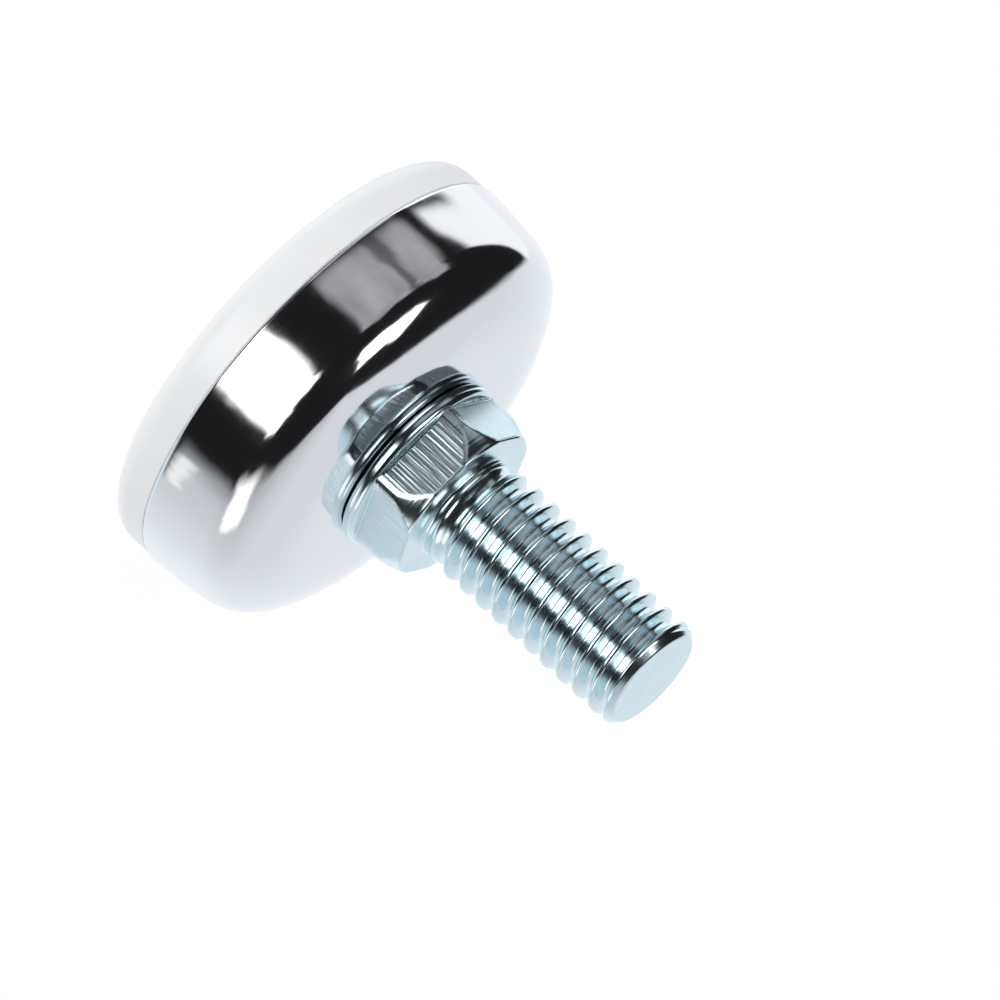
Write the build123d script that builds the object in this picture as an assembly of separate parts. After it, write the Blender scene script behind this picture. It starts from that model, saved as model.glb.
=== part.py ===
"""Levelling foot for an ice machine: a chromed cup on a plastic base, with a threaded stud that turns in it.

Millimetres, +Z up along the stud, with the origin under the middle of the base.
"""
import os
from math import acos, cos, degrees, radians, sin, tan

from build123d import *

# Stud thread, 5/16 inch with 18 threads to the inch, drawn at its major diameter.
THREAD_MAJOR_D = 7.94
THREAD_LENGTH = 16.65         # from the hexagon to the tip, neck included
TIP_CHAMFER = 0.55
NECK_D = 7.3                  # plain blank where the rolled thread runs out
NECK_LENGTH = 1.0

# Head and shoulder of the stud, inside the cup.
HEAD_D = 14.0
HEAD_HEIGHT = 2.2
HEAD_BEVEL = 0.5
SHOULDER_D = 9.8

# Hexagon and collar of the stud, above the cup.
HEX_FLATS = 10.9
HEX_HEIGHT = 3.48             # above the collar
HEX_CORNER_RADIUS = 1.0
HEX_TOP_D = 11.1              # across the corners on top, where the forming die leaves them unfilled
COLLAR_D = 12.74
COLLAR_HEIGHT = 1.02
COLLAR_EDGE_RADIUS = 0.45

# Stamped cup.
CUP_RIM_D = 31.0
CUP_HEIGHT = 8.15             # rim to the flat seat under the collar
CUP_WALL = 1.2
CUP_DRAFT = 5
CUP_SHOULDER_RADIUS = 2.7
CROWN_RADIUS = 18.0           # dome from the seat's edge out to the shoulder
SEAT_D = 13.22                # flat round the hole, under the collar

# Moulded base.
PAD_INSET = 0.1               # edge of the base inside the cup's rim
PAD_FLANGE_HEIGHT = 3.2
PAD_EDGE_RADIUS = 1.65
PLUG_LEAD_IN = 0.6

# Clearances between the foot and the stud that turns in it.
SHOULDER_CLEARANCE = 0.08
COLLAR_CLEARANCE = 0.05
HEAD_CLEARANCE = 0.08
HEAD_TO_PLUG = 0.3

# Levels above the floor.
seat_z = PAD_FLANGE_HEIGHT + CUP_HEIGHT
collar_z = seat_z + COLLAR_CLEARANCE
hex_z = collar_z + COLLAR_HEIGHT
thread_z = hex_z + HEX_HEIGHT
tip_z = thread_z + THREAD_LENGTH
head_top_z = seat_z - CUP_WALL - HEAD_CLEARANCE
head_z = head_top_z - HEAD_HEIGHT
plug_top_z = head_z - HEAD_TO_PLUG

# Radii that two pieces share.
shoulder_r = SHOULDER_D / 2
rim_r = CUP_RIM_D / 2
taper = tan(radians(CUP_DRAFT))


def turned(outline):
    """Solid of revolution about Z from curves in the plane of radius and height."""
    return revolve(make_face(Plane.XZ * outline), Axis.Z)


def foot_cup():
    """Drafted wall, rounded shoulder and domed crown in one sheet, open below, with a hole in its flat seat."""
    seat_r = SEAT_D / 2
    dome_z = seat_z - CROWN_RADIUS
    draft = radians(CUP_DRAFT)
    dome_to_wall = (rim_r - seat_r) * cos(draft) + (PAD_FLANGE_HEIGHT - dome_z) * sin(draft)
    wall_angle = degrees(draft + acos(dome_to_wall / CROWN_RADIUS))
    crown = CenterArc((seat_r, dome_z), CROWN_RADIUS, 90, wall_angle - 90)
    hole_edge = (shoulder_r + SHOULDER_CLEARANCE, seat_z)
    below_rim = (rim_r + CUP_WALL * taper, PAD_FLANGE_HEIGHT - CUP_WALL)
    line = Line(hole_edge, crown @ 0) + crown + Line(crown @ 1, below_rim)
    line = fillet(line.vertices().sort_by_distance(crown @ 1)[0], CUP_SHOULDER_RADIUS)
    sheet = make_face(offset(line, CUP_WALL, side=Side.RIGHT))
    sheet -= Pos(rim_r, PAD_FLANGE_HEIGHT) * Rectangle(CUP_RIM_D, 3 * CUP_WALL, align=(Align.CENTER, Align.MAX))
    return revolve(Plane.XZ * sheet, Axis.Z)


def base_pad():
    """Flange about the size of the cup, and a tapered plug that the cup is pressed over."""
    flange_r = rim_r - PAD_INSET
    plug_r = rim_r - CUP_WALL / cos(radians(CUP_DRAFT))
    plug_top_r = plug_r - (plug_top_z - PAD_FLANGE_HEIGHT) * taper
    pad = turned(Polyline((0, 0), (flange_r, 0), (flange_r, PAD_FLANGE_HEIGHT),
                          (plug_r, PAD_FLANGE_HEIGHT), (plug_top_r, plug_top_z), (0, plug_top_z), close=True))
    circles = pad.edges().filter_by(GeomType.CIRCLE).sort_by(Axis.Z)
    pad = fillet(circles[0], PAD_EDGE_RADIUS)
    plug_top = pad.edges().filter_by(GeomType.CIRCLE).sort_by(Axis.Z)[-1]
    return chamfer(plug_top, PLUG_LEAD_IN)


def levelling_stud():
    """Head, shoulder, collar, hexagon and thread, cold formed in one piece and free to turn in the cup."""
    head_r = HEAD_D / 2
    neck_r = NECK_D / 2
    major_r = THREAD_MAJOR_D / 2
    neck_top_z = thread_z + NECK_LENGTH
    shank = turned(Polyline((0, head_z), (head_r - HEAD_BEVEL, head_z), (head_r, head_z + HEAD_BEVEL),
                            (head_r, head_top_z), (shoulder_r, head_top_z), (shoulder_r, hex_z),
                            (neck_r, hex_z), (neck_r, neck_top_z), (major_r, neck_top_z + major_r - neck_r),
                            (major_r, tip_z - TIP_CHAMFER), (major_r - TIP_CHAMFER, tip_z), (0, tip_z),
                            close=True))
    from_below = (Align.CENTER, Align.CENTER, Align.MIN)
    collar = Pos(0, 0, collar_z) * Cylinder(COLLAR_D / 2, COLLAR_HEIGHT, align=from_below)
    collar = fillet(collar.edges().filter_by(GeomType.CIRCLE), COLLAR_EDGE_RADIUS)
    return shank + collar + Pos(0, 0, hex_z) * hexagon()


def hexagon():
    """Six flats whose corners curve inwards towards the top, so that each flat ends in an arch."""
    flats = RegularPolygon(HEX_FLATS / 2, 6, major_radius=False)
    bar = extrude(fillet(flats.vertices(), HEX_CORNER_RADIUS), HEX_HEIGHT)
    foot = (HEX_FLATS / 2 / cos(radians(30)), 0)
    top = (HEX_TOP_D / 2, HEX_HEIGHT)
    barrel = turned(Polyline(top, (0, HEX_HEIGHT), (0, 0), foot) + TangentArc(foot, top, tangent=(0, 1)))
    return bar & Rot(0, 0, 30) * barrel        # seam on a flat, clear of the rounded corners


os.makedirs("parts", exist_ok=True)
for piece in (foot_cup, base_pad, levelling_stud):
    export_step(piece(), f"parts/{piece.__name__}.step")
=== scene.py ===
"""Levelling leg of an ice machine: a chromed cup on a plastic base, with a zinc-plated stud that turns in it.

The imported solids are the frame, in metres with +Z up along the stud. Sizes below are in millimetres.
"""

import bpy
import numpy as np
from mathutils import Matrix


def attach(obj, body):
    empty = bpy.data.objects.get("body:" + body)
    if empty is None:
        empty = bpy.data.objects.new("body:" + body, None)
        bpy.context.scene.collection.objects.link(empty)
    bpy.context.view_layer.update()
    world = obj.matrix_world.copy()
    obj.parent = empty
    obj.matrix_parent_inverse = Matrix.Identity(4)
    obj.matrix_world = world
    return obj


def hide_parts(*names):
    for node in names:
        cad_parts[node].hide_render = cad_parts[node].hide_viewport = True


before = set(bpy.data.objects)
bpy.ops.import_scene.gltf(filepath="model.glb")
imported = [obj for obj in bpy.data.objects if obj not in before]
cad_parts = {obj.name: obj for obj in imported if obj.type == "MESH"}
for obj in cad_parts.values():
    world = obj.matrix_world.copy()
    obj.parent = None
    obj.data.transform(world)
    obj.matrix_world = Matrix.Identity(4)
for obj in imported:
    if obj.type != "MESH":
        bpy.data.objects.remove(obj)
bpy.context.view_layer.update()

# Base pad
# A disc of off-white plastic, injection moulded, that stands on the floor.
# Its plug is pressed up into the cup, so only the flange with its rounded lower edge shows.

MM = 0.001                        # metres in a millimetre
PAD_R, PAD_EDGE = 15.4, 1.65
RIM_Z, FLANGE_EDGE = 3.2, 0.12    # top of the flange, where the cup's rim sits
PLUG_R, PLUG_TOP_R, PLUG_TOP_Z, PLUG_EDGE = 14.295, 13.913, 7.57, 0.5
PAD_COLUMNS = 192


def eased(corners, radii, step=0.1, brace=0.06):
    """Points of a profile of radius and height that turns each corner along an arc.
    The arc's centre lies on the corner's bisector at radius / sin(half angle), and its points are
    weighted sums of its two end spokes. Straight runs get a point near each end, which keeps them flat."""
    corners = np.asarray(corners, float)
    parts = []
    for k, (corner, radius) in enumerate(zip(corners, radii)):
        if radius == 0:
            parts.append(corner[None])
            continue
        back, ahead = corners[k - 1] - corner, corners[(k + 1) % len(corners)] - corner
        back, ahead = back / np.linalg.norm(back), ahead / np.linalg.norm(ahead)
        half = np.arccos(np.clip(back @ ahead, -1, 1)) / 2
        middle = (back + ahead) / np.linalg.norm(back + ahead)
        centre = corner + middle * radius / np.sin(half)
        first = corner + back * radius / np.tan(half) - centre
        last = corner + ahead * radius / np.tan(half) - centre
        sweep = np.pi - 2 * half
        share = np.linspace(0, 1, max(5, int(sweep * radius / step) + 2))[:, None]
        spokes = np.sin((1 - share) * sweep) * first + np.sin(share * sweep) * last
        parts.append(centre + spokes / np.sin(sweep))
    path = np.concatenate(parts)
    run = np.diff(path, axis=0)
    length = np.linalg.norm(run, axis=1)
    long = np.flatnonzero(length > 3 * brace)
    inset = run[long] / length[long, None] * brace
    braces = np.stack([path[long] + inset, path[long + 1] - inset], 1).reshape(-1, 2)
    return np.insert(path, np.repeat(long + 1, 2), braces, axis=0)


def spun(profile, columns):
    """Radius and height of a profile carried round Z, the same in every column."""
    return [np.repeat(values[:, None], columns, 1) for values in profile.T]


def ring_mesh(name, radius, height, closed_loop=False):
    """Mesh of rings about Z: row i, column j is at angle 2 pi j / columns, radius[i, j] and height[i, j].
    Rings join into quads. A closed loop joins the last ring to the first, and otherwise the first and last
    rings shrink to one point each on the axis."""
    rows, columns = radius.shape
    turn = 2 * np.pi * np.arange(columns) / columns
    places = np.stack([radius * np.cos(turn), radius * np.sin(turn), height], 2) * MM
    index = np.arange(rows * columns).reshape(rows, columns)
    if closed_loop:
        vertices = places.reshape(-1, 3)
        low, high = index, np.roll(index, -1, 0)
        fans = np.zeros((0, 3), int)
    else:
        vertices = np.concatenate([places[1:-1].reshape(-1, 3), places[[0, -1], 0]])
        index = index[:rows - 2]
        low, high = index[:-1], index[1:]
        bottom, top = np.full(columns, len(vertices) - 2), np.full(columns, len(vertices) - 1)
        fans = np.concatenate([np.stack([bottom, np.roll(index[0], -1), index[0]], 1),
                               np.stack([top, index[-1], np.roll(index[-1], -1)], 1)])
    quads = np.stack([low, np.roll(low, -1, 1), np.roll(high, -1, 1), high], 2).reshape(-1, 4)
    mesh = bpy.data.meshes.new(name)
    mesh.from_pydata(vertices.tolist(), [], quads.tolist() + fans.tolist())
    mesh.polygons.foreach_set("use_smooth", np.ones(len(mesh.polygons), bool))
    mesh.validate()
    piece = bpy.data.objects.new(name, mesh)
    bpy.context.scene.collection.objects.link(piece)
    return piece


def linear(colour):
    """Linear red, green, blue and alpha of an sRGB hex colour."""
    part = np.array([int(colour[k:k + 2], 16) for k in (1, 3, 5)]) / 255
    return (*np.where(part <= 0.04045, part / 12.92, ((part + 0.055) / 1.055) ** 2.4), 1.0)


def add_node(tree, kind, inputs=None, **settings):
    """Adds a shader node. settings are its properties, and inputs gives each socket a value or a link."""
    node = tree.nodes.new(kind)
    for name, value in settings.items():
        setattr(node, name, value)
    for name, value in (inputs or {}).items():
        if isinstance(value, bpy.types.NodeSocket):
            tree.links.new(value, node.inputs[name])
        else:
            node.inputs[name].default_value = value
    return node


pad_profile = eased(
    [(0, 0), (PAD_R, 0), (PAD_R, RIM_Z), (PLUG_R, RIM_Z), (PLUG_TOP_R, PLUG_TOP_Z), (0, PLUG_TOP_Z)],
    [0, PAD_EDGE, FLANGE_EDGE, 0, PLUG_EDGE, 0])
pad = ring_mesh("pad", *spun(pad_profile, PAD_COLUMNS))

# Moulded polypropylene: a soft gloss over a faintly grained skin, with slight clouding in the white.
# A noise's scale is its cells to the metre, so 1000 over the size of a cloud or grain.
plastic = bpy.data.materials.new("moulded_polypropylene")
plastic.use_nodes = True
tree = plastic.node_tree
shader = tree.nodes["Principled BSDF"]
place = add_node(tree, "ShaderNodeTexCoord").outputs["Object"]
CLOUD_MM, GRAIN_MM = 5.0, 0.35
cloud = add_node(tree, "ShaderNodeTexNoise", {"Vector": place, "Scale": 1000 / CLOUD_MM, "Detail": 3.0})
grain = add_node(tree, "ShaderNodeTexNoise", {"Vector": place, "Scale": 1000 / GRAIN_MM, "Detail": 2.0})
tint = add_node(tree, "ShaderNodeMix", {"Factor": cloud.outputs["Fac"],
                                        6: linear("#EBECEE"), 7: linear("#F3F4F5")}, data_type="RGBA")
gloss = add_node(tree, "ShaderNodeMapRange", {"Value": grain.outputs["Fac"], "To Min": 0.18, "To Max": 0.28})
skin = add_node(tree, "ShaderNodeBump", {"Height": grain.outputs["Fac"], "Strength": 0.12,
                                         "Distance": 0.03 * MM})
tree.links.new(tint.outputs[2], shader.inputs["Base Color"])
tree.links.new(gloss.outputs["Result"], shader.inputs["Roughness"])
tree.links.new(skin.outputs["Normal"], shader.inputs["Normal"])
shader.inputs["IOR"].default_value = 1.49
pad.data.materials.append(plastic)
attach(pad, "foot")
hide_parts("base_pad")

# Foot cup
# A shallow cup drawn from steel sheet in one piece, polished and chromed, pressed over the pad's plug.
# A drafted wall turns through a round shoulder into a domed crown, with a flat seat round the stud's hole.

RIM_R, RIM_ROUND = 15.5, 0.2
SEAT_R, SEAT_Z = 6.37, 11.35
HOLE_R, HOLE_ROUND = 4.98, 0.1
WALL = 1.2
CUP_COLUMNS = 256
# The outside falls from the seat in five arcs, and LEANS gives how steeply it falls at their ends.
# The crown's three arcs bend ever more tightly, at the radii in CROWN_BENDS, and then come shoulder and wall.
# Drawing leaves the wall a faint belly: it starts short of its draft and ends at the rim as much past it.
DRAFT, BELLY = 5.0, 3.9
LEANS = np.radians([0, 4.0, 12.1, 36.5, 90 - DRAFT - BELLY, 90 - DRAFT + BELLY])
CROWN_BENDS = [41.9, 12.1, 7.5]
OUTSIDE_POINTS, HOLLOW_POINTS = 48, 12    # along each arc
RIM_CLEARED = 4                           # last points left out, to make room for the rim's round


def falling_arcs(start, bends, leans, count):
    """Profile of arcs that run smoothly into each other. Along an arc, the radius grows by the bend times the
    rise in the lean's sine, and the height falls by the bend times the drop in its cosine."""
    arcs = [np.linspace(first, last, count)[:-1] for first, last in zip(leans[:-1], leans[1:])]
    lean = np.concatenate([*arcs, leans[-1:]])
    bend = np.repeat(bends, count - 1)
    growth = np.cumsum(bend * np.diff(np.sin(lean)))
    fall = np.cumsum(bend * np.diff(np.cos(lean)))
    return np.array([start, *(np.array(start) + np.stack([growth, fall], 1))])


# Shoulder and wall get the two bends with which the last arc ends at the rim.
crown_arcs = len(CROWN_BENDS)
crown_end = falling_arcs((SEAT_R, SEAT_Z), CROWN_BENDS, LEANS[:crown_arcs + 1], 2)[-1]
outward, downward = np.diff(np.sin(LEANS))[crown_arcs:], -np.diff(np.cos(LEANS))[crown_arcs:]
to_rim = [RIM_R - crown_end[0], crown_end[1] - RIM_Z]
bends = np.array([*CROWN_BENDS, *np.linalg.solve([outward, downward], to_rim)])
curves = falling_arcs((SEAT_R, SEAT_Z), bends, LEANS, OUTSIDE_POINTS)[-1 - RIM_CLEARED::-1]
hollow = falling_arcs((SEAT_R, SEAT_Z - WALL), bends - WALL, LEANS, HOLLOW_POINTS)
outside = eased([hollow[-1], (RIM_R, RIM_Z), *curves, (HOLE_R, SEAT_Z), (HOLE_R, SEAT_Z - WALL)],
                [0, RIM_ROUND, *np.zeros(len(curves)), HOLE_ROUND, 0], step=0.05)
cup_profile = np.concatenate([outside, hollow[:-1]])
cup = ring_mesh("cup", *spun(cup_profile, CUP_COLUMNS), closed_loop=True)

# Bright chrome over drawn steel: a near mirror, very slightly wavy from the draw, with a trace of haze.
chrome = bpy.data.materials.new("bright_chrome_plate")
chrome.use_nodes = True
tree = chrome.node_tree
shader = tree.nodes["Principled BSDF"]
place = add_node(tree, "ShaderNodeTexCoord").outputs["Object"]
WAVE_MM, HAZE_MM = 2.2, 0.9
wave = add_node(tree, "ShaderNodeTexNoise", {"Vector": place, "Scale": 1000 / WAVE_MM, "Detail": 1.0})
haze = add_node(tree, "ShaderNodeTexNoise", {"Vector": place, "Scale": 1000 / HAZE_MM, "Detail": 3.0})
polish = add_node(tree, "ShaderNodeMapRange", {"Value": haze.outputs["Fac"], "To Min": 0.05, "To Max": 0.12})
ripple = add_node(tree, "ShaderNodeBump", {"Height": wave.outputs["Fac"], "Strength": 0.5,
                                           "Distance": 0.02 * MM})
tree.links.new(polish.outputs["Result"], shader.inputs["Roughness"])
tree.links.new(ripple.outputs["Normal"], shader.inputs["Normal"])
shader.inputs["Base Color"].default_value = linear("#F0F1F3")
shader.inputs["Metallic"].default_value = 1.0
cup.data.materials.append(chrome)
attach(cup, "foot")
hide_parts("foot_cup")

# Levelling stud
# Cold formed from steel wire in one piece: a head trapped inside the cup, a collar on its seat, a hexagon
# for a spanner and a rolled 5/16-18 thread, all zinc plated with a bluish clear passivate.

HEAD_R, HEAD_Z, HEAD_TOP_Z = 7.0, 7.87, 10.07
HEAD_BEVEL, HEAD_EDGE = 0.5, 0.1
SHOULDER_R = 4.9
COLLAR_R, COLLAR_Z, COLLAR_EDGE = 6.37, 11.4, 0.45
HEX_Z, HEX_TOP_Z = 12.42, 15.9
FLAT, HEX_CORNER, HEX_TOP_R = 5.45, 1.0, 5.55    # half width across flats, corners' round, reach on top
HEX_FOOT, HEX_EDGE, ARCH_SOFT = 0.1, 0.2, 0.02   # rounds at the foot, along the top and at the arches
MAJOR_R, PITCH = 3.97, 1.411
THREAD_DEPTH, CREST_ROUND, ROOT_ROUND = 0.5413 * PITCH, 0.03, 0.05
CREST_Z = 17.9                                   # height of one crest on the camera's side
NECK_R, NECK_ROUND = 3.65, 0.28
RING_SHARE, RING_RISE = 0.25, 0.4                # share of the thread in the neck's rings, and their rise
RUN_OUT_START, RUN_OUT = 0.8, 1.4                # above the hexagon, for the rest of the thread
TIP_Z, TIP_R = 32.55, 3.42
TIP_PLAIN, TIP_FADE = 0.2, 0.5                   # plain edge under the tip's face, and the fade below it
TIP_STEPS = [0.06, 0.15, 1.5]                    # in from the tip's edge
COLUMNS, SIDE_ROWS, ROUND_ROWS, SHELF_ROWS, THREAD_STEP = 288, 45, 8, 8, 0.08
LEDGE_START, LEDGE_END = 0.1, 0.85               # radians up the collar's round edge
CAMERA_TURN = 6.5                                # degrees round Z from -Y to the camera

turn = 2 * np.pi * np.arange(COLUMNS)[None] / COLUMNS


def hexagon_radius(turn):
    """Distance from the axis to a hexagon with rounded corners, with a flat facing -Y.
    On a flat it is the half width over the cosine of the angle from the flat's middle. On a corner it is
    where a ray from the axis leaves the corner's circle."""
    off_flat = np.abs((turn + np.pi / 2 + np.pi / 6) % (np.pi / 3) - np.pi / 6)
    corner_centre = (FLAT - HEX_CORNER) / np.cos(np.pi / 6)
    off_corner = np.pi / 6 - off_flat
    chord = np.clip(HEX_CORNER ** 2 - (corner_centre * np.sin(off_corner)) ** 2, 0, None)
    round_part = corner_centre * np.cos(off_corner) + np.sqrt(chord)
    flat_end = np.arctan((FLAT - HEX_CORNER) * np.tan(np.pi / 6) / FLAT)
    return np.where(off_flat <= flat_end, FLAT / np.cos(off_flat), round_part)


def barrel_radius(height):
    """Radius that the die leaves the corners: an arc, upright at the foot, that leans in to the top."""
    foot_r, rise = FLAT / np.cos(np.pi / 6), HEX_TOP_Z - HEX_Z
    arc = (rise ** 2 + (foot_r - HEX_TOP_R) ** 2) / (2 * (foot_r - HEX_TOP_R))
    return foot_r - arc + np.sqrt(arc ** 2 - (height - HEX_Z) ** 2)


def smooth(share):
    """Eased step from 0 to 1: three shares squared less two shares cubed, held at both ends."""
    share = np.clip(share, 0, 1)
    return share * share * (3 - 2 * share)


def thread_radius(turn, height):
    """Radius of a right-hand 60 degree thread along a helix that rises one pitch a turn: a crest an eighth of
    the pitch wide, flanks that fall by the root of three, and a level root. The logarithm of one plus an
    exponential rounds root and crest. It runs out to shallow rings over the hexagon and fades at the tip."""
    facing = turn + np.pi / 2 - np.radians(CAMERA_TURN)
    off_crest = np.abs(((height - CREST_Z) / PITCH - facing / (2 * np.pi) + 0.5) % 1 - 0.5) * PITCH
    drop = np.clip((off_crest - PITCH / 16) * np.sqrt(3), 0, None)
    drop = THREAD_DEPTH - np.log1p(np.exp((THREAD_DEPTH - drop) / ROOT_ROUND)) * ROOT_ROUND
    drop = np.log1p(np.exp(drop / CREST_ROUND)) * CREST_ROUND
    drop = drop * smooth((TIP_Z - TIP_PLAIN - height) / TIP_FADE)
    above = height - HEX_TOP_Z
    rings, rest = smooth((above - NECK_ROUND) / RING_RISE), smooth((above - RUN_OUT_START) / RUN_OUT)
    return NECK_R + (MAJOR_R - drop - NECK_R) * (RING_SHARE * rings + (1 - RING_SHARE) * rest)


def collar_top(reach):
    """Height of the collar's upper face: level, then down its rounded edge, which is a quarter circle."""
    over = np.clip(reach - COLLAR_R + COLLAR_EDGE, 0, COLLAR_EDGE)
    return HEX_Z - COLLAR_EDGE + np.sqrt(COLLAR_EDGE ** 2 - over ** 2)


lower = eased([(0, HEAD_Z), (HEAD_R, HEAD_Z), (HEAD_R, HEAD_TOP_Z), (SHOULDER_R, HEAD_TOP_Z),
               (SHOULDER_R, COLLAR_Z), (COLLAR_R, COLLAR_Z), (COLLAR_R, HEX_Z - COLLAR_EDGE)],
              [0, HEAD_BEVEL, HEAD_EDGE, 0, 0, COLLAR_EDGE, 0], step=0.07)
hexagon = hexagon_radius(turn)
quarter = np.linspace(0, np.pi / 2, ROUND_ROWS)[1:, None]
# Up the collar's round edge, then in over the rest of its face to the hexagon's foot.
round_edge = np.linspace(LEDGE_START, LEDGE_END, ROUND_ROWS)[:, None]
ledge_r = COLLAR_R - COLLAR_EDGE * (1 - np.cos(round_edge))
shelf = np.linspace(0, 1, SHELF_ROWS + 1)[1:, None]
shelf_r = ledge_r[-1] + shelf * (hexagon + HEX_FOOT - ledge_r[-1])
collar_r = np.concatenate([ledge_r + 0 * turn, shelf_r])
foot_z = collar_top(hexagon + HEX_FOOT)
foot_r = hexagon + HEX_FOOT * (1 - np.sin(quarter))
foot_h = foot_z + HEX_FOOT * (1 - np.cos(quarter))
# Up the flats and corners, over the top edge, and in to the neck.
climb = np.linspace(0, 1, SIDE_ROWS + 1)[1:, None]
side_z = foot_z + HEX_FOOT + climb * (HEX_TOP_Z - HEX_EDGE - foot_z - HEX_FOOT)
barrel = barrel_radius(side_z)
side_r = -ARCH_SOFT * np.log(np.exp(-hexagon / ARCH_SOFT) + np.exp(-barrel / ARCH_SOFT))
edge_r = side_r[-1:] - HEX_EDGE * (1 - np.cos(quarter))
edge_h = HEX_TOP_Z - HEX_EDGE * (1 - np.sin(quarter)) + 0 * turn
inward = np.array([0.06, 0.3, 0.6, 0.9, 1.0])[:, None]
face_r = edge_r[-1:] + inward * (NECK_R + NECK_ROUND - edge_r[-1:])
neck_r = NECK_R + NECK_ROUND * (1 - np.sin(quarter)) + 0 * turn
neck_h = HEX_TOP_Z + NECK_ROUND * (1 - np.cos(quarter)) + 0 * turn
# Up the thread to the tip, whose edge is chamfered at 45 degrees, and in to the axis.
thread_z = np.arange(HEX_TOP_Z + NECK_ROUND + THREAD_STEP, TIP_Z, THREAD_STEP)[:, None] + 0 * turn
thread_z[-1] = TIP_Z
thread_r = np.minimum(thread_radius(turn, thread_z), TIP_R + TIP_Z - thread_z)
tip_r = thread_r[-1:] - np.array(TIP_STEPS)[:, None]
axis_r = np.zeros((1, COLUMNS))

bands = {"lower": spun(lower, COLUMNS), "collar": (collar_r, collar_top(collar_r)), "foot": (foot_r, foot_h),
         "side": (side_r, side_z), "edge": (edge_r, edge_h), "face": (face_r, HEX_TOP_Z + 0 * face_r),
         "neck": (neck_r, neck_h), "thread": (thread_r, thread_z), "tip": (tip_r, TIP_Z + 0 * tip_r),
         "axis": (axis_r, TIP_Z + axis_r)}
stud = ring_mesh("stud", *(np.concatenate(rows) for rows in zip(*bands.values())))

# The attribute drawn is 1 on the flats, which keep the bar's draw lines, and fades at arches and corners.
ARCH_FADE, CORNER_FADE = 0.1, 0.05
flat_end_r = np.hypot(FLAT, (FLAT - HEX_CORNER) * np.tan(np.pi / 6))
drawn = {band: np.zeros(radius.shape) for band, (radius, height) in bands.items()}
drawn["side"] = smooth((barrel - hexagon) / ARCH_FADE) * smooth((flat_end_r - hexagon) / CORNER_FADE)
drawn_rings = np.concatenate(list(drawn.values()))[1:-1].ravel()
marks = stud.data.attributes.new("drawn", "FLOAT", "POINT")
marks.data.foreach_set("value", np.concatenate([drawn_rings, [0, 0]]).astype(np.float32))

# Bright zinc: a soft metal sheen, with lines down the drawn flats and rings round what was turned or rolled.
zinc = bpy.data.materials.new("bright_zinc_plate")
zinc.use_nodes = True
tree = zinc.node_tree
shader = tree.nodes["Principled BSDF"]
place = add_node(tree, "ShaderNodeTexCoord").outputs["Object"]
LINE_MM, RING_MM, BLOOM_MM = 0.22, 0.14, 2.5
LINE_SQUEEZE, RING_DEPTH, FLAT_DULL = 0.05, 0.14, 0.14
along = add_node(tree, "ShaderNodeMapping", {"Vector": place, "Scale": (1.0, 1.0, LINE_SQUEEZE)})
lines = add_node(tree, "ShaderNodeTexNoise", {"Vector": along.outputs["Vector"], "Scale": 1000 / LINE_MM,
                                              "Detail": 2.0})
axes = add_node(tree, "ShaderNodeSeparateXYZ", {"Vector": place})
flat_place = add_node(tree, "ShaderNodeCombineXYZ", {"X": axes.outputs["X"], "Y": axes.outputs["Y"]})
reach = add_node(tree, "ShaderNodeVectorMath", {"Vector": flat_place.outputs["Vector"]}, operation="LENGTH")
section = add_node(tree, "ShaderNodeCombineXYZ", {"X": reach.outputs["Value"], "Y": axes.outputs["Z"]})
rings = add_node(tree, "ShaderNodeTexNoise", {"Vector": section.outputs["Vector"], "Scale": 1000 / RING_MM,
                                              "Detail": 1.0})
bloom = add_node(tree, "ShaderNodeTexNoise", {"Vector": place, "Scale": 1000 / BLOOM_MM, "Detail": 4.0})
flats = add_node(tree, "ShaderNodeAttribute", attribute_name="drawn").outputs["Fac"]
ring_height = add_node(tree, "ShaderNodeMath", {0: rings.outputs["Fac"], 1: RING_DEPTH}, operation="MULTIPLY")
marking = add_node(tree, "ShaderNodeMix", {"Factor": flats, "A": ring_height.outputs["Value"],
                                           "B": lines.outputs["Fac"]})
relief = add_node(tree, "ShaderNodeBump", {"Height": marking.outputs["Result"], "Strength": 1.0,
                                           "Distance": 0.06 * MM})
tint = add_node(tree, "ShaderNodeMix", {"Factor": bloom.outputs["Fac"],
                                        6: linear("#CFE7ED"), 7: linear("#ECF9FC")}, data_type="RGBA")
sheen = add_node(tree, "ShaderNodeMapRange", {"Value": bloom.outputs["Fac"], "To Min": 0.13, "To Max": 0.22})
dulled = add_node(tree, "ShaderNodeMath", {0: flats, 1: FLAT_DULL, 2: sheen.outputs["Result"]},
                  operation="MULTIPLY_ADD")
tree.links.new(tint.outputs[2], shader.inputs["Base Color"])
tree.links.new(dulled.outputs["Value"], shader.inputs["Roughness"])
tree.links.new(relief.outputs["Normal"], shader.inputs["Normal"])
shader.inputs["Metallic"].default_value = 1.0
stud.data.materials.append(zinc)
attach(stud, "stud")
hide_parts("levelling_stud")

# Studio
# A white floor, soft light from behind and both sides, and a dark room in front, which the chrome shows.
# The room is drawn round the object by bearing from the camera, to the right, and by height, in degrees.

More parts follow.
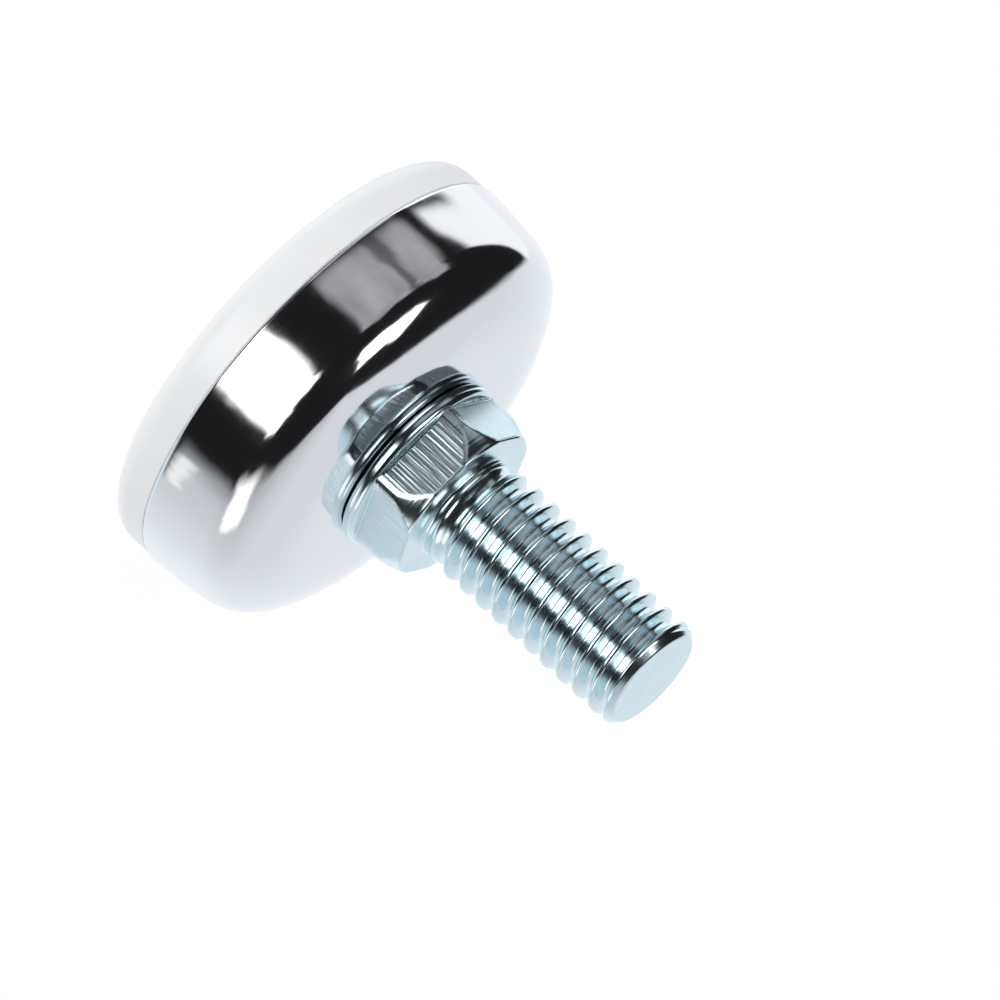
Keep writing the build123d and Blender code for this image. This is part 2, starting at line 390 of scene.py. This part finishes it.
room = bpy.data.worlds.new("studio")
bpy.context.scene.world = room
room.use_nodes = True
tree = room.node_tree
tree.nodes.clear()
ray = add_node(tree, "ShaderNodeTexCoord").outputs["Generated"]
level = add_node(tree, "ShaderNodeVectorRotate", {"Vector": ray, "Angle": np.radians(-CAMERA_TURN)},
                 rotation_type="Z_AXIS").outputs["Vector"]
axes = add_node(tree, "ShaderNodeSeparateXYZ", {"Vector": level})
front = add_node(tree, "ShaderNodeMath", {0: axes.outputs["Y"], 1: -1.0}, operation="MULTIPLY")
turned = add_node(tree, "ShaderNodeMath", {0: axes.outputs["X"], 1: front.outputs["Value"]},
                  operation="ARCTAN2")
raised = add_node(tree, "ShaderNodeMath", {0: axes.outputs["Z"]}, operation="ARCSINE")
bearing = add_node(tree, "ShaderNodeMath", {0: turned.outputs["Value"]}, operation="DEGREES").outputs["Value"]
lift = add_node(tree, "ShaderNodeMath", {0: raised.outputs["Value"]}, operation="DEGREES").outputs["Value"]

# Edges of the panels waver by a few degrees, as uneven cloths and boards do.
RAGGED = 14.0
waver = add_node(tree, "ShaderNodeTexNoise", {"Vector": level, "Scale": 5.0, "Detail": 3.0})
sway = add_node(tree, "ShaderNodeSeparateColor", {"Color": waver.outputs["Color"]})


def wavering(angle, noise):
    """An angle moved by noise: the angle plus the ragged width times the noise less a half."""
    shift = add_node(tree, "ShaderNodeMath", {0: noise, 1: RAGGED, 2: -RAGGED / 2}, operation="MULTIPLY_ADD")
    return add_node(tree, "ShaderNodeMath", {0: angle, 1: shift.outputs["Value"]},
                    operation="ADD").outputs["Value"]


def beyond(angle, limit, soft, short=0.0, past=1.0):
    """Mask that goes from 0 where an angle is short of its limit to 1 past it, eased over the soft width."""
    return add_node(tree, "ShaderNodeMapRange", {"Value": angle, "From Min": limit - soft,
                                                 "From Max": limit + soft, "To Min": short, "To Max": past},
                    interpolation_type="SMOOTHSTEP").outputs["Result"]


def short_of(angle, limit, soft):
    """The reverse of beyond: 1 where an angle is short of its limit and 0 past it."""
    return beyond(angle, limit, soft, short=1.0, past=0.0)


def between(angle, low, high):
    """Mask between two edges, each a limit with its soft width: beyond the low less beyond the high."""
    return add_node(tree, "ShaderNodeMath", {0: beyond(angle, *low), 1: beyond(angle, *high)},
                    operation="SUBTRACT").outputs["Value"]


def overlap(*masks):
    """Mask of what several masks share: their product."""
    shared = masks[0]
    for mask in masks[1:]:
        shared = add_node(tree, "ShaderNodeMath", {0: shared, 1: mask}, operation="MULTIPLY").outputs["Value"]
    return shared


ragged_bearing = wavering(bearing, sway.outputs["Red"])
ragged_lift = wavering(lift, sway.outputs["Green"])


def panel(left, right, low, high, soft):
    """Mask of a panel between two bearings and two heights, with soft, uneven edges."""
    return overlap(between(ragged_bearing, (left, soft), (right, soft)),
                   between(ragged_lift, (low, soft), (high, soft)))


# A dark strip runs along the foot of the boards in front and at both sides.
strip = overlap(between(lift, (-16.3, 0.6), (-14, 1.2)), between(bearing, (-118, 6), (90, 4)))
lit = add_node(tree, "ShaderNodeMapRange", {"Value": strip, "To Min": 1.0, "To Max": 0.0}).outputs["Result"]
# The backdrop goes round behind the object. It is brighter near the floor and dimmer towards its ends.
backdrop = add_node(tree, "ShaderNodeMath", {0: beyond(ragged_bearing, 74, 10),
                                             1: short_of(bearing, -145, 4)}, operation="ADD").outputs["Value"]
near_floor = add_node(tree, "ShaderNodeMapRange", {"Value": lift, "From Min": -5.0, "From Max": 35.0,
                                                   "To Min": 1.25, "To Max": 1.0}).outputs["Result"]
around = add_node(tree, "ShaderNodeMath", {0: bearing}, operation="ABSOLUTE").outputs["Value"]
far_round = add_node(tree, "ShaderNodeMapRange", {"Value": around, "From Min": 76.0, "From Max": 145.0,
                                                  "To Min": 0.62, "To Max": 1.0}).outputs["Result"]
# The left card's top slopes: it is at CARD_LIFT by its right edge and climbs by CARD_SLOPE to the left.
CARD_RIGHT, CARD_LIFT, CARD_SLOPE = -93, -10, 0.408
along_top = add_node(tree, "ShaderNodeMath", {0: bearing, 1: CARD_SLOPE, 2: lift}, operation="MULTIPLY_ADD")
left_card = overlap(between(bearing, (-152, 8), (CARD_RIGHT, 3)),
                    short_of(along_top.outputs["Value"], CARD_LIFT + CARD_SLOPE * CARD_RIGHT, 2))
# Low bluish cards at both sides, for the stud.
low = short_of(lift, -17.5, 0.8)
low_left = overlap(between(bearing, (-150, 4), (-95, 4)), low)
low_right = overlap(between(bearing, (86, 4), (135, 4)), low)
# A grey cloth in front at the left, with a fold and an uneven tone.
TONE_SPREAD, TONE_BASE = 1.02, 0.459
fold = between(ragged_bearing, (-65, 2), (-59, 2))
shade = add_node(tree, "ShaderNodeMapRange", {"Value": fold, "To Min": 1.0, "To Max": 0.3}).outputs["Result"]
tone = add_node(tree, "ShaderNodeMath", {0: sway.outputs["Blue"], 1: TONE_SPREAD, 2: TONE_BASE},
                operation="MULTIPLY_ADD").outputs["Value"]
cloth = overlap(panel(-84, -28, -40, 12, 3), lit, shade, tone)

# Each light is a mask, a colour and a strength. Where lights overlap, the brightest shows.
DARK_ROOM = (0.012, 0.012, 0.013)
lights = [
    (overlap(backdrop, lit, near_floor, far_round), "#DEE2E6", 1.0),
    (overlap(left_card, lit), "#F1F2F5", 1.15),
    (low_left, "#E4F8FF", 1.4),
    (low_right, "#D6EBF6", 1.05),
    (panel(2, 36, -40, 15, 3), "#FFFFFF", 2.5),          # bright window in front
    (cloth, "#A4A4A6", 1.0),
    (panel(-84, -28, -40, -18, 2), "#BCC0C4", 1.0),      # table under the cloth
    (panel(-30, 4, -40, -19, 2), "#666A6E", 1.0),        # its shaded end
    (panel(65, 104, 10, 40, 8), "#FFFFFF", 1.4),         # lamp at the right
    (panel(76, 92, -14, -9.5, 1.5), "#FFFFFF", 1.0),     # its glint low down
    (panel(-76, -24, 42, 64, 3), "#FFFFFF", 3.0),        # softbox above at the left
]
glow = DARK_ROOM
for mask, colour, strength in lights:
    light = tuple(strength * part for part in linear(colour)[:3])
    masked = add_node(tree, "ShaderNodeVectorMath", {0: light, "Scale": mask}, operation="SCALE")
    glow = add_node(tree, "ShaderNodeVectorMath", {0: glow, 1: masked.outputs["Vector"]},
                    operation="MAXIMUM").outputs["Vector"]
studio = add_node(tree, "ShaderNodeBackground", {"Color": glow})
paper = add_node(tree, "ShaderNodeBackground", {"Color": (1.0, 1.0, 1.0, 1.0)})
seen = add_node(tree, "ShaderNodeLightPath").outputs["Is Camera Ray"]
chosen = add_node(tree, "ShaderNodeMixShader", {0: seen, 1: studio.outputs[0], 2: paper.outputs[0]})
add_node(tree, "ShaderNodeOutputWorld", {"Surface": chosen.outputs[0]})

# Floor: white paper that glows, so that it meets the background with no edge, over a grey that takes shadow.
# It lies a hair lower than the pad, so that the two don't share a plane.
FLOOR_HALF, FLOOR_DROP = 2000, 0.02
floor_size = (FLOOR_HALF, FLOOR_HALF, FLOOR_DROP)
corners = np.array([(-1, -1, -1), (1, -1, -1), (1, 1, -1), (-1, 1, -1)])
floor_mesh = bpy.data.meshes.new("floor")
floor_mesh.from_pydata((corners * floor_size * MM).tolist(), [], [(0, 1, 2, 3)])
floor = bpy.data.objects.new("floor", floor_mesh)
bpy.context.scene.collection.objects.link(floor)
floor.visible_glossy = False
white_floor = bpy.data.materials.new("white_floor")
white_floor.use_nodes = True
shader = white_floor.node_tree.nodes["Principled BSDF"]
shader.inputs["Base Color"].default_value = linear("#404040")
shader.inputs["Roughness"].default_value = 1.0
shader.inputs["Specular IOR Level"].default_value = 0.0
shader.inputs["Emission Color"].default_value = (1.0, 1.0, 1.0, 1.0)
shader.inputs["Emission Strength"].default_value = 0.97
floor_mesh.materials.append(white_floor)

# Fill: soft light from beside the camera for the white plastic, kept out of the mirror's reflections.
fill_light = bpy.data.lights.new("fill", "AREA")
fill_light.energy, fill_light.size = 2.4, 0.5
fill = bpy.data.objects.new("fill", fill_light)
fill.location = (-0.15, -0.8, 0.35)
fill.rotation_euler = (np.radians(66), 0, np.radians(-11))
fill.visible_glossy = False
bpy.context.scene.collection.objects.link(fill)

# Camera: a long lens above the cup's front, rolled so that the stud points down to the right.
# BASE_PIXEL is where the middle of the pad's underside lies in the frame.
ELEVATION, ROLL = np.radians(17), np.radians(42.62)
FRAME_PIXELS, PIXELS_PER_MM = 1000, 16.1
BASE_PIXEL = np.array([283.5, 339.9])
DISTANCE, SENSOR_MM = 2500, 36.0
side = np.array([np.cos(np.radians(CAMERA_TURN)), np.sin(np.radians(CAMERA_TURN)), 0])
back = np.array([side[1] * np.cos(ELEVATION), -side[0] * np.cos(ELEVATION), np.sin(ELEVATION)])
upward = np.cross(back, side)
right = np.cos(ROLL) * upward - np.sin(ROLL) * side
down = np.sin(ROLL) * upward + np.cos(ROLL) * side
across, below = (FRAME_PIXELS / 2 - BASE_PIXEL) / PIXELS_PER_MM
spot = (across * right + below * down + DISTANCE * back) * MM
lens = bpy.data.cameras.new("camera")
lens.sensor_width = SENSOR_MM
lens.lens = SENSOR_MM * DISTANCE * PIXELS_PER_MM / FRAME_PIXELS
camera = bpy.data.objects.new("camera", lens)
pose = np.array([[*axis, 0.0] for axis in (right, -down, back)] + [[*spot, 1.0]])
camera.matrix_world = Matrix(pose.T.tolist())
bpy.context.scene.collection.objects.link(camera)
bpy.context.scene.camera = camera
bpy.context.scene.view_settings.view_transform = "Standard"
